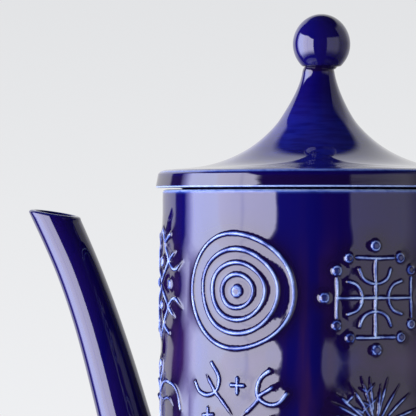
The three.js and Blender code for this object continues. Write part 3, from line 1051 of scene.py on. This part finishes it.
def make_spout():
    rows = np.stack([-SPOUT[:, 0], SPOUT[:, 1], SPOUT[:, 2], SPOUT[:, 2], SPOUT[:, 3]], 1)
    # carry on past the mouth so that the slanted mouth plane can cut it
    d = rows[-1, :2] - rows[-2, :2]
    d /= np.hypot(*d)
    ext = rows[-1].copy()
    ext[:2] += d * 9
    ext[2:4] += 0.05
    tube = Tube(np.vstack([rows, ext]))
    n = 112
    phi = 2 * math.pi * np.arange(n) / n
    a = math.radians(MOUTH[2])
    mn = np.array([math.sin(a), 0.0, math.cos(a)])
    mc = np.array([-MOUTH[0], 0.0, MOUTH[1]])

    def cut(shrink, off=0.0):
        s = tube.s[tube.s > tube.s[-1] - 34]
        out = np.zeros(n)
        for k, f in enumerate(phi):
            p, _ = tube.at(s, np.full(len(s), f), shrink)
            h = (p - mc) @ mn + off
            i = np.nonzero(h < 0)[0][-1]
            out[k] = s[i] + (s[i + 1] - s[i]) * (-h[i]) / (h[i + 1] - h[i]) if i + 1 < len(s) else s[-1]
        return out

    wobble = waves(71, 14, 3, 70.0, 0.10)
    rows_, vals, pool_and_shade_rows = [], [], []
    s0 = roots(tube, phi, 0)
    lip = 0.95
    end = cut(0.0, lip)
    end_in = cut(2.1, lip)
    near = np.array([0, 0.15, 0.35, 0.6, 0.95, 1.4, 1.9, 2.5, 3.2, 4.0, 5.0, 6.1, 7.4, 9.0])
    many = np.linspace(0, 1, 78)[1:]
    # pooled glaze and painted shade darken the spout where it runs into the wall
    for k, off in enumerate(near):
        s = s0 + off
        p, o = tube.at(s, phi)
        p, e = fillet(p, o, 4.5)
        if k == 0:
            rows_.append(sink(p))
            vals.append(np.zeros(n))
            pool_and_shade_rows.append(np.ones(n) * 0.8)
        rows_.append(p)
        vals.append(np.zeros(n))
        pool_and_shade_rows.append(0.8 * e)
    for v in many:
        s = s0 + near[-1] + v * (end - s0 - near[-1])
        p, o = tube.at(s, phi)
        if v < 1:
            p = p + o * (wobble(phi, s) * min(1, (1 - v) * 8))[:, None]
        p, e = fillet(p, o, 4.5)
        rows_.append(p)
        vals.append(np.zeros(n))
        pool_and_shade_rows.append(0.8 * e)
    # the rounded lip: over the wall's thickness, and down inside
    pe, _ = tube.at(end, phi)
    pi_, _ = tube.at(end_in, phi, 2.1)
    mid, half = (pe + pi_) / 2, (pe - pi_) / 2
    for b in np.linspace(0, math.pi, 12)[1:-1]:
        rows_.append(mid + half * math.cos(b) + mn * (lip * math.sin(b)))
        vals.append(np.full(n, 0.34 * math.sin(b) ** 2))
        pool_and_shade_rows.append(np.zeros(n))
    inner0 = roots(tube, phi, 0, 3.6)
    # painted shade inside the spout, down to the wall
    for v in np.linspace(1, 0, 44):
        s = inner0 + v * (end_in - inner0)
        p, _ = tube.at(s, phi, np.maximum(np.interp(s, tube.s, tube.c[:, 4]), 2.1))
        rows_.append(p)
        vals.append(np.zeros(n))
        pool_and_shade_rows.append(np.full(n, 0.6))
    rows_.append(sink(rows_[-1]))
    vals.append(np.zeros(n))
    pool_and_shade_rows.append(np.ones(n) * 0.6)
    return sweep_mesh("spout_fine", rows_, vals, pool_and_shade_rows, 1, True)


def make_handle():
    rows = np.stack([HANDLE[:, 0], HANDLE[:, 1], HANDLE[:, 2], HANDLE[:, 3], HANDLE[:, 2] * 0], 1)
    tube = Tube(rows, 2.35)
    n = 96
    phi = 2 * math.pi * np.arange(n) / n
    s0, s1 = roots(tube, phi, 0, most=45), roots(tube, phi, 1, most=45)
    near = np.array([0, 0.15, 0.35, 0.6, 0.95, 1.4, 1.9, 2.5, 3.2, 4.0, 5.0, 6.1, 7.4, 9.0])
    wobble = waves(81, 14, 3, 60.0, 0.12)
    rows_, vals, pool_and_shade_rows = [], [], []

    def add(s, fade=1.0, deep=False):
        p, o = tube.at(s, phi)
        p = p + o * (wobble(phi, s) * fade)[:, None]
        p, e = fillet(p, o, 4.5)
        if deep:
            p = sink(p)
        rows_.append(p)
        vals.append(np.zeros(n))
        # pooled glaze and painted shade where the handle runs into the wall
        pool_and_shade_rows.append(0.8 * e)

    add(s0, 0.0, True)
    for off in near:
        add(s0 + off, min(1, off / 9))
    for v in np.linspace(0, 1, 90)[1:-1]:
        add(s0 + near[-1] + v * (s1 - s0 - 2 * near[-1]))
    for off in near[::-1]:
        add(s1 - off, min(1, off / 9))
    add(s1, 0.0, True)
    return sweep_mesh("handle_fine", rows_, vals, pool_and_shade_rows, 2, False)


CONE = [
    (50.4, 6.08), (47.0, 6.4), (43.0, 6.7), (39.0, 7.1), (35.8, 7.7), (33.4, 8.35), (31.2, 9.07), (28.7, 10.05), (25.9, 11.4), (23.4, 12.75), (21.1, 14.3),
    (18.8, 16.1), (16.9, 17.8), (15.2, 19.5), (13.7, 21.1), (12.4, 22.8), (11.35, 24.5), (10.4, 26.1), (9.45, 27.8), (8.55, 29.5), (7.75, 31.2),
    (7.1, 32.7), (6.6, 34.0), (6.15, 35.3), (5.75, 36.6), (5.46, 37.8), (5.36, 38.6), (5.3, 39.3), (5.15, 39.9), (4.7, 40.3),
]


def make_lid():
    z = LID_Z
    under = [(0, 29), (6, 26), (10, 18), (14.5, 12), (21, 7.2), (30, 3.8), (38, 1.6)]
    under = spline(np.array([(r, h) for r, h in under], float), 2.0)
    rows = [(r, z + h, 0.0) for r, h in under[:-1]]
    # the flange's lower outer edge and its rounded top edge are made pale: glaze breaking thinly there, and partly a
    # painted highlight
    rows += [tuple(v) for v in corner([(38.0, z + 1.6, 0, 0), (40.9, z - 0.8, 1.0, 0), (40.9, z - 13.2, 0.7, 0.2), (41.5, z - 14, 0.6, 0.6), (43.5, z - 14, 0.6, 0.6), (44.2, z - 13.2, 0.8, 0.3), (COLLAR_R, z + 0.05, 1.0, 0), (52.9, z, 0, 0.0), (53.45, z, 0.3, 0.10), (53.80, z + 0.36, 0.3, 0.78), (53.72, z + 0.72, 0, 0.08), (53.68, z + 0.95, 0, 0.0)], 5)]
    side = corner([(53.68, 0.95, 0, 0), (53.30, 3.0, 0, 0), (52.98, 4.75, 0.5, 0.02), (52.2, 5.55, 1.0, 0.50), (50.9, 6.04, 1.0, 0.12), (50.4, 6.08, 0, 0)], 6)
    rows += [(r, z + h, v) for r, h, v in densify(side, 1.2)[1:]]
    up = spline(np.array(CONE, float), 1.0)
    k = np.ones(5) / 5
    for _ in range(2):
        up[2:-2] = np.stack([np.convolve(up[:, q], k, "valid") for q in (0, 1)], 1)
    rows += [(r, z + h, 0.0) for r, h in up[1:]]
    rows += [(0.0, z + 40.3, 0.0)]
    rows = np.array(rows)
    wa, wb = waves(91, 14, 5, 60.0, 0.07), waves(92, 10, 9, 60.0, 0.035)

    def dents(t, r, zz):
        k = float(smooth((r[0] - 5.6) / 6)) * (1.0 if zz[0] > z + 3 else 0.0)
        # the neck leans a little, as the knob on it does
        lean = float(smooth((zz[0] - z - 22) / 16)) * 0.45 * (1.0 if zz[0] > z + 29 or r[0] > 6.5 else 0.0)
        return lean * np.cos(t - 0.34), k * (wa(t, r * 1.6) + wb(t, r))

    # painted shade: the flange's outer side, and everything below the lid's top level (the flange's underside and the
    # collar), take the full pooled dark
    face = lambda p: 1.0 * smooth((np.hypot(p[:, 0], p[:, 1]) - 52.4) / 0.4) * smooth((z + 5.0 - p[:, 2]) / 1.8) + smooth((z + 0.25 - p[:, 2]) / 0.25)
    # pooled glaze and painted shade in the crease where the neck meets the knob
    crease_and_shade = lambda p: smooth((p[:, 2] - z - 38.2) / 0.9) + face(p)
    return turned("lid_fine", rows, 192, dents, pool_and_shade=crease_and_shade)


def make_knob():
    n = 40
    rows = [(0.0, LID_Z + 39.5, 0.0), (4.2, LID_Z + 39.5, 0.0), (4.7, LID_Z + 39.7, 0.0), (4.95, LID_Z + 40.05, 0.0), (5.3, LID_Z + 40.4, 0.0)]
    a0 = math.asin((40.6 - KNOB_Z) / KNOB_HALF)
    for a in np.linspace(a0, math.pi / 2, n):
        rows.append((KNOB_R * math.cos(a), LID_Z + KNOB_Z + KNOB_HALF * math.sin(a), 0.0))
    rows[-1] = (0.0, LID_Z + KNOB_Z + KNOB_HALF, 0.0)
    w = waves(95, 10, 3, 26.0, 0.05)

    def dents(t, r, zz):
        k = float(smooth((zz[0] - LID_Z - 41) / 4))
        return k * w(t, zz), 0 * t

    # painted shade under the ball where it meets the neck, with pooled glaze
    crease_and_shade = lambda p: smooth((LID_Z + 41.2 - p[:, 2]) / 1.0)
    return turned("knob_fine", np.array(rows), 96, dents, KNOB_LEAN, crease_and_shade)


# ---- shader helpers ----
class Net:
    """Small maths helper over a node tree."""

    def __init__(self, tree):
        self.t = tree

    def node(self, kind, **kw):
        n = self.t.nodes.new(kind)
        for k, v in kw.items():
            setattr(n, k, v)
        return n

    def put(self, sock, v):
        if hasattr(v, "is_linked") or isinstance(v, bpy.types.NodeSocket):
            self.t.links.new(v, sock)
        else:
            sock.default_value = v

    def math(self, op, a, b=0.0, c=0.0, clamp=False):
        n = self.node("ShaderNodeMath", operation=op, use_clamp=clamp)
        for i, v in enumerate((a, b, c)):
            self.put(n.inputs[i], v)
        return n.outputs[0]

    def step(self, v, lo, hi, a=0.0, b=1.0):
        n = self.node("ShaderNodeMapRange", interpolation_type="SMOOTHSTEP")
        for i, q in enumerate((v, lo, hi, a, b)):
            self.put(n.inputs[i], q)
        return n.outputs[0]

    def ramp(self, v, stops):
        n = self.node("ShaderNodeValToRGB")
        e = n.color_ramp.elements
        while len(e) > 1:
            e.remove(e[-1])
        for i, (p, c) in enumerate(stops):
            x = e[0] if i == 0 else e.new(p)
            x.position = p
            x.color = (*c, 1.0) if np.ndim(c) else (c, c, c, 1.0)
        self.put(n.inputs[0], v)
        return n.outputs[0]

    def mix(self, fac, a, b, blend="MIX"):
        n = self.node("ShaderNodeMix", data_type="RGBA", blend_type=blend)
        n.clamp_factor = True
        self.put(n.inputs[0], fac)
        for i, v in ((6, a), (7, b)):
            self.put(n.inputs[i], v if not isinstance(v, tuple) else (*v, 1.0))
        return n.outputs[2]


def noise(net, vec, scale, detail=2.0, rough=0.5):
    n = net.node("ShaderNodeTexNoise", noise_dimensions="3D")
    net.put(n.inputs["Vector"], vec)
    n.inputs["Scale"].default_value = scale
    n.inputs["Detail"].default_value = detail
    n.inputs["Roughness"].default_value = rough
    return n.outputs[0]


DEEP = (0.0020, 0.0006, 0.060)
BRIGHT = (0.0095, 0.0130, 0.185)
BROWN = (0.0245, 0.0078, 0.052)
# the dark of pooled glaze, also used as painted shade
POOLED_AND_SHADED = (0.0065, 0.0024, 0.026)
HALF_THIN_AND_HIGHLIGHT = (0.042, 0.086, 0.36)  # glaze half way to its palest, with part of a painted highlight
# palest glaze over edges, lightened in part as a painted highlight on lit ridge tops
THIN_AND_HIGHLIGHT = (0.40, 0.53, 0.74)


def glaze(name, foot=False, paleness=1.0, bright=0.5, brown=0.5, zone=None):
    """Cobalt glaze: deep where it gathers beside raised lines, with painted shade there and in joins, creases and under
    the lid; pale where it runs thinly over edges, with part of a painted highlight.
    """
    m = bpy.data.materials.new(name)
    m.use_nodes = True
    t = m.node_tree
    t.nodes.clear()
    net = Net(t)
    out = net.node("ShaderNodeOutputMaterial")
    p = net.node("ShaderNodeBsdfPrincipled")
    t.links.new(p.outputs[0], out.inputs[0])
    tc = net.node("ShaderNodeTexCoord").outputs["Object"]
    break_and_highlight = net.node("ShaderNodeAttribute", attribute_name="break_and_highlight").outputs["Fac"]
    pool_and_shade = net.node("ShaderNodeAttribute", attribute_name="pool_and_shade").outputs["Fac"]
    # broad drift of the blue, and streaks that run down the pot
    sep = net.node("ShaderNodeSeparateXYZ")
    net.put(sep.inputs[0], tc)
    com = net.node("ShaderNodeCombineXYZ")
    net.put(com.inputs[0], sep.outputs[0])
    net.put(com.inputs[1], sep.outputs[1])
    net.put(com.inputs[2], net.math("MULTIPLY", sep.outputs[2], 0.22))
    broad = noise(net, com.outputs[0], 30.0, 2.0)
    share = net.math("MULTIPLY", net.step(broad, 0.34, 0.66), bright, clamp=True)
    if zone:  # brighter where the glaze thins towards one height
        share = net.math("MULTIPLY", net.step(broad, 0.30, 0.70, 0.55, 1.1), net.step(sep.outputs[2], zone[0], zone[1], 0.12, 1.0), clamp=True)
        share = net.math("MULTIPLY", share, net.step(sep.outputs[2], 0.2310, 0.2325))
        flat = net.node("ShaderNodeCombineXYZ")  # brush rings left from banding the glaze on
        for k, f in enumerate((0.13, 0.13, 1.0)):
            net.put(flat.inputs[k], net.math("MULTIPLY", sep.outputs[k], f))
        brushed = noise(net, flat.outputs[0], 900.0, 3.0)
        share = net.math("MULTIPLY", share, net.step(brushed, 0.35, 0.65, 0.62, 1.25), clamp=True)
    col = net.mix(share, DEEP, BRIGHT)
    thin_streak = net.node("ShaderNodeCombineXYZ")
    net.put(thin_streak.inputs[0], sep.outputs[0])
    net.put(thin_streak.inputs[1], sep.outputs[1])
    net.put(thin_streak.inputs[2], net.math("MULTIPLY", sep.outputs[2], 0.07))
    streak = noise(net, thin_streak.outputs[0], 130.0, 3.0)
    brownish = net.math("MULTIPLY", net.step(streak, 0.32, 0.54), brown, clamp=True)
    if foot:  # the brown tint grows down the wall from the rim
        brownish = net.math("MULTIPLY", brownish, net.step(sep.outputs[2], 0.216, 0.190, 0.15, 1.0))
    col = net.mix(brownish, col, BROWN)
    # pooled glaze and painted shade: darkest beside raised lines, in joins, on the rim's top and under the lid
    col = net.mix(net.math("MULTIPLY", pool_and_shade, 0.9, clamp=True), col, POOLED_AND_SHADED)
    # pinholes: sparse dark specks
    vor = net.node("ShaderNodeTexVoronoi", feature="F1")
    net.put(vor.inputs["Vector"], tc)
    vor.inputs["Scale"].default_value = 62.0
    near = net.math("LESS_THAN", vor.outputs["Distance"], 0.028)
    pick = net.math("GREATER_THAN", noise(net, tc, 90.0, 0.0), 0.60)
    speck = net.math("MULTIPLY", near, pick)
    col = net.mix(speck, col, (0.004, 0.003, 0.012))
    # glaze running thinly over edges, lightened in part as a painted highlight on ridge tops and rims
    ragged = noise(net, tc, 420.0, 2.0)
    edge = net.math("MULTIPLY", break_and_highlight, net.step(ragged, 0.2, 0.6, 0.78, 1.06), clamp=True)
    edge = net.math("MULTIPLY", net.math("POWER", edge, 1.25), paleness, clamp=True)
    col = net.mix(net.step(edge, 0.0, 0.42), col, HALF_THIN_AND_HIGHLIGHT)
    col = net.mix(net.step(edge, 0.22, 1.0), col, THIN_AND_HIGHLIGHT)
    rough = net.math("ADD", 0.035, net.math("MULTIPLY", speck, 0.4))
    if foot:
        bare = net.math("LESS_THAN", sep.outputs[2], 0.00035)
        clay = net.mix(noise(net, tc, 900.0, 3.0), (0.56, 0.50, 0.42), (0.74, 0.69, 0.60))
        col = net.mix(bare, col, clay)
        rough = net.math("ADD", rough, net.math("MULTIPLY", bare, 0.75))
    net.put(p.inputs["Base Color"], col)
    net.put(p.inputs["Roughness"], rough)
    p.inputs["IOR"].default_value = 1.54
    bump = net.node("ShaderNodeBump")
    bump.inputs["Strength"].default_value = 1.0
    bump.inputs["Distance"].default_value = 0.001
    h = net.math("MULTIPLY", noise(net, tc, 260.0, 1.0), 0.010)
    h = net.math("ADD", h, net.math("MULTIPLY", noise(net, tc, 90.0, 1.0), 0.022))
    h = net.math("SUBTRACT", h, net.math("MULTIPLY", speck, 0.05))
    if zone:
        h = net.math("ADD", h, net.math("MULTIPLY", brushed, 0.010))
    net.put(bump.inputs["Height"], h)
    net.put(p.inputs["Normal"], bump.outputs[0])
    return m


# ---- the pieces, each in the place of its CAD node ----
for make, node, slot, body, mat in (
    (make_body, "pot_body", "body_glaze", "pot", glaze("glaze_body", foot=True, bright=0.16, brown=0.95)),
    (make_spout, "spout", "spout_glaze", "pot", glaze("glaze_spout", bright=0.12, brown=0.2)),
    (make_handle, "handle", "handle_glaze", "pot", glaze("glaze_handle", bright=0.3, brown=0.5)),
    (make_lid, "lid", "lid_glaze", "lid", glaze("glaze_lid", brown=0.1, zone=(0.2600, 0.2440))),
    (make_knob, "lid_knob", "knob_glaze", "lid", glaze("glaze_knob", bright=0.3, brown=0.15)),
):
    piece = make()
    piece.data.materials.append(mat)
    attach(piece, body)
    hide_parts(node)

# ---- light: a wide window-like box at the left, a paler wall at the right, dark towards the camera and above ----
world = bpy.data.worlds.new("studio")
bpy.context.scene.world = world
world.use_nodes = True
wt = world.node_tree
wt.nodes.clear()
net = Net(wt)
wout = net.node("ShaderNodeOutputWorld")
d = net.node("ShaderNodeSeparateXYZ")
net.put(d.inputs[0], net.node("ShaderNodeTexCoord").outputs["Generated"])
x, y, z = d.outputs
ca, sa = math.cos(VIEW_AZ), math.sin(VIEW_AZ)
left = net.math("MULTIPLY", net.math("ADD", net.math("MULTIPLY", x, ca), net.math("MULTIPLY", y, sa)), -1.0)
front = net.math("SUBTRACT", net.math("MULTIPLY", x, sa), net.math("MULTIPLY", y, ca))
phi = net.math("MULTIPLY", net.math("ARCTAN2", left, front), 180 / math.pi)
el = net.math("MULTIPLY", net.math("ARCSINE", z), 180 / math.pi)
pos = net.math("DIVIDE", net.math("ADD", phi, 180.0), 360.0)
at = lambda deg: (deg + 180.0) / 360.0
box = net.ramp(pos, [
    (at(29.4), (0, 0, 0)), (at(30.4), (0.75, 0.73, 0.90)), (at(54.6), (0.78, 0.76, 0.94)), (at(55.6), (0.65, 0.64, 0.84)), (at(57.2), (0.65, 0.64, 0.84)),
    (at(58.2), (0.79, 0.77, 0.96)), (at(76.5), (0.81, 0.80, 1.00)), (at(78.5), (0.80, 0.84, 1.13)), (at(98.0), (0.64, 0.68, 0.98)), (at(103.5), (0.58, 0.61, 0.92)),
    (at(109.5), (0.21, 0.21, 0.40)), (at(115.5), (0, 0, 0)),
])
wall = net.ramp(pos, [
    (at(-180), 0.0), (at(-81), 0.0), (at(-80), (0.42, 0.42, 0.44)), (at(-67), (1.08, 1.04, 1.16)), (at(-25.0), (1.12, 1.08, 1.24)), (at(-23.6), (0.010, 0.008, 0.010)),
    (at(28), (0.010, 0.008, 0.010)), (at(119), (0.02, 0.02, 0.03)), (at(128), (0.04, 0.04, 0.05)), (at(129), 0.0), (at(180), 0.0),
])
back = net.ramp(pos, [
    (at(-180), (0.80, 0.80, 0.80)), (at(-150), (0.80, 0.80, 0.82)), (at(-134), (0.85, 0.84, 0.88)), (at(-120), (0.56, 0.55, 0.58)), (at(-81), (0.44, 0.43, 0.46)), (at(-80), 0.0),
    (at(128.6), 0.0), (at(131.2), (1.15, 1.15, 1.22)), (at(140), (1.10, 1.10, 1.12)), (at(160), (0.80, 0.80, 0.80)), (at(180), (0.80, 0.80, 0.80)),
])
top = net.step(phi, 30.0, 62.0, 16.0, 26.0)
box_v = net.math("MULTIPLY", net.step(net.math("SUBTRACT", el, top), 1.5, -1.5), net.step(el, -42.0, -16.0))
wall_v = net.math("MULTIPLY", net.step(el, 24.0, 17.0, 0.02, 1.0), net.step(el, -38.0, -15.0, 0.10, 1.0))
back_v = net.math("MULTIPLY", net.math("MULTIPLY", net.step(el, 51.0, 41.0, 0.02, 1.0), net.step(el, -34.0, -9.0, 0.35, 1.0)), net.step(el, 2.0, 16.0, 1.0, 1.3))


def scaled(colour, k):
    n = net.node("ShaderNodeVectorMath", operation="SCALE")
    net.put(n.inputs[0], colour)
    net.put(n.inputs["Scale"], k)
    return n.outputs[0]


add = net.node("ShaderNodeVectorMath", operation="ADD")
net.put(add.inputs[0], scaled(box, net.math("MULTIPLY", box_v, 10.0)))
net.put(add.inputs[1], scaled(wall, wall_v))
add2 = net.node("ShaderNodeVectorMath", operation="ADD")
net.put(add2.inputs[0], add.outputs[0])
net.put(add2.inputs[1], scaled(back, back_v))
lit = net.node("ShaderNodeBackground")
net.put(lit.inputs[0], add2.outputs[0])
lit.inputs[1].default_value = 1.0
seen = net.node("ShaderNodeBackground")
net.put(seen.inputs[0], net.ramp(net.math("ADD", net.math("MULTIPLY", el, 1 / 16.0), 0.5), [(0.0, (0.86, 0.87, 0.89)), (0.26, (0.855, 0.863, 0.885)), (0.5, (0.815, 0.823, 0.84)), (0.75, (0.765, 0.773, 0.79)), (1.0, (0.74, 0.75, 0.77))]))
ray = net.node("ShaderNodeLightPath")
both = net.node("ShaderNodeMixShader")
net.put(both.inputs[0], ray.outputs["Is Camera Ray"])
wt.links.new(lit.outputs[0], both.inputs[1])
wt.links.new(seen.outputs[0], both.inputs[2])
wt.links.new(both.outputs[0], wout.inputs[0])

# ---- the floor: a pale disc that fades into the pale world ----
fl = Faces()
nf = 96
rings_f = [0.3, 0.7, 1.1, 1.5, 1.9]
cof = [[0.0, 0.0, -0.2]]
for r in rings_f:
    th = 2 * math.pi * np.arange(nf) / nf
    cof += [[r * 1000 * math.cos(q), r * 1000 * math.sin(q), -0.2] for q in th]
idsf = [1 + k * nf + np.arange(nf) for k in range(len(rings_f))]
fl.tris(np.stack([np.zeros(nf, int), idsf[0], np.roll(idsf[0], -1)], 1))
for a, b in zip(idsf[:-1], idsf[1:]):
    fl.quads(np.stack([a, b, np.roll(b, -1), np.roll(a, -1)], 1))
lf, tf = fl.get()
floor = build("floor", cof, lf, tf)
fm = bpy.data.materials.new("floor_paper")
fm.use_nodes = True
ft = fm.node_tree
ft.nodes.clear()
net = Net(ft)
fo = net.node("ShaderNodeOutputMaterial")
fd = net.node("ShaderNodeBsdfDiffuse")
fd.inputs[0].default_value = (0.80, 0.81, 0.83, 1)
fe = net.node("ShaderNodeEmission")
fe.inputs[0].default_value = (0.50, 0.505, 0.52, 1)
fs = net.node("ShaderNodeAddShader")
ft.links.new(fd.outputs[0], fs.inputs[0])
ft.links.new(fe.outputs[0], fs.inputs[1])
tr = net.node("ShaderNodeBsdfTransparent")
fx = net.node("ShaderNodeMixShader")
sp = net.node("ShaderNodeSeparateXYZ")
net.put(sp.inputs[0], net.node("ShaderNodeTexCoord").outputs["Object"])
rad = net.math("SQRT", net.math("ADD", net.math("MULTIPLY", sp.outputs[0], sp.outputs[0]), net.math("MULTIPLY", sp.outputs[1], sp.outputs[1])))
net.put(fx.inputs[0], net.step(rad, 0.35, 1.85))
ft.links.new(fs.outputs[0], fx.inputs[1])
ft.links.new(tr.outputs[0], fx.inputs[2])
ft.links.new(fx.outputs[0], fo.inputs[0])
floor.data.materials.append(fm)
floor.visible_glossy = False
floor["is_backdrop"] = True

# ---- camera: the photograph's angle ----
scene = bpy.context.scene
scene.view_settings.view_transform = "Standard"
scene.view_settings.look = "None"
cam_data = bpy.data.cameras.new("camera")
cam_data.sensor_width = 36.0
cam_data.lens = 36.0 * 3000.0 / 416.0
cam_data.clip_start = 0.05
cam_data.clip_end = 20.0
cam = bpy.data.objects.new("camera", cam_data)
scene.collection.objects.link(cam)
cam.location = (math.sin(VIEW_AZ), -math.cos(VIEW_AZ), 0.2194)
cam.rotation_mode = "XYZ"
cam.rotation_euler = (math.pi / 2, 0.0, VIEW_AZ + math.atan(109.1 / 3000.0))
scene.camera = cam

new_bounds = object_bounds()
plain = lambda b: [[float(v) for v in p] for p in b]
{"cad": plain(cad_bounds), "visual": plain(new_bounds)}
